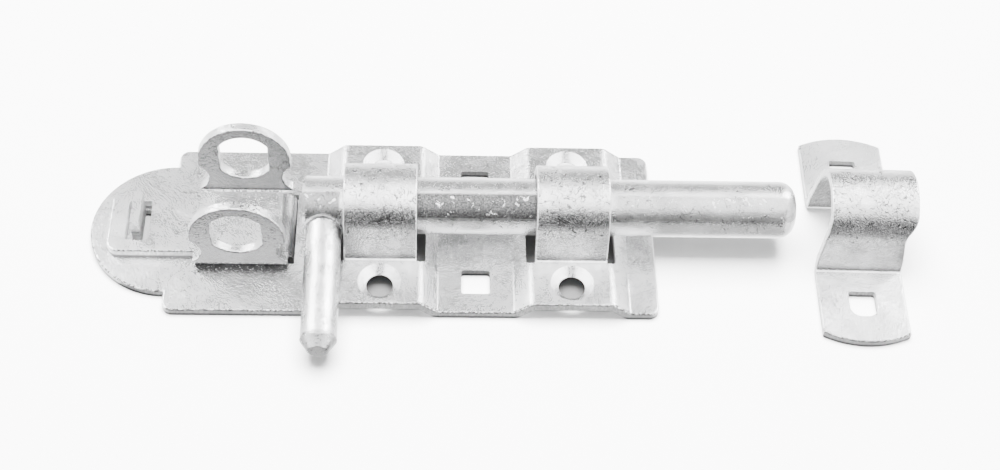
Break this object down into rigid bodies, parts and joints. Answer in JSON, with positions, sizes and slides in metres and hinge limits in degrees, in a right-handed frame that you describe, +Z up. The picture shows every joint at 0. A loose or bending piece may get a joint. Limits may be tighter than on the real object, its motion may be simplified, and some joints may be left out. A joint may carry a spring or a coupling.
{
  "type": "sliding bolt",
  "caption": "Padlockable sliding barrel bolt: pressed base plate with strap guides, round rod with side handle, padlock bracket and loose keeper staple.",
  "frame": {"origin": "on the underside of the base plate, midway between its two square bolt holes", "axes": "+X along the rod towards its nose, +Y towards the rear edge of the plate, +Z up from the surface the plate is fixed to"},
  "size_m": [0.2322, 0.0831, 0.0302],
  "materials": {
    "zinc_sheet": "zinc plated, softly grained",
    "zinc_bar": "zinc plated over drawn bar, speckled"
  },
  "bodies": {
    "plate": {"base_plate": "zinc_sheet", "padlock_bracket": "zinc_sheet", "keeper_staple": "zinc_sheet"},
    "rod": {"bolt_rod": "zinc_bar"},
    "handle": {"bolt_handle": "zinc_bar"}
  },
  "joints": [
    {"name": "bolt_slide", "type": "slide", "parent": "plate", "child": "rod", "axis": [-1, 0, 0], "range_m": [0, 0.0048]},
    {"name": "handle_turn", "type": "hinge", "parent": "rod", "child": "handle", "pos_m": [-0.0425, 0, 0.01375], "axis": [-1, 0, 0], "range_deg": [0, 164]}
  ]
}
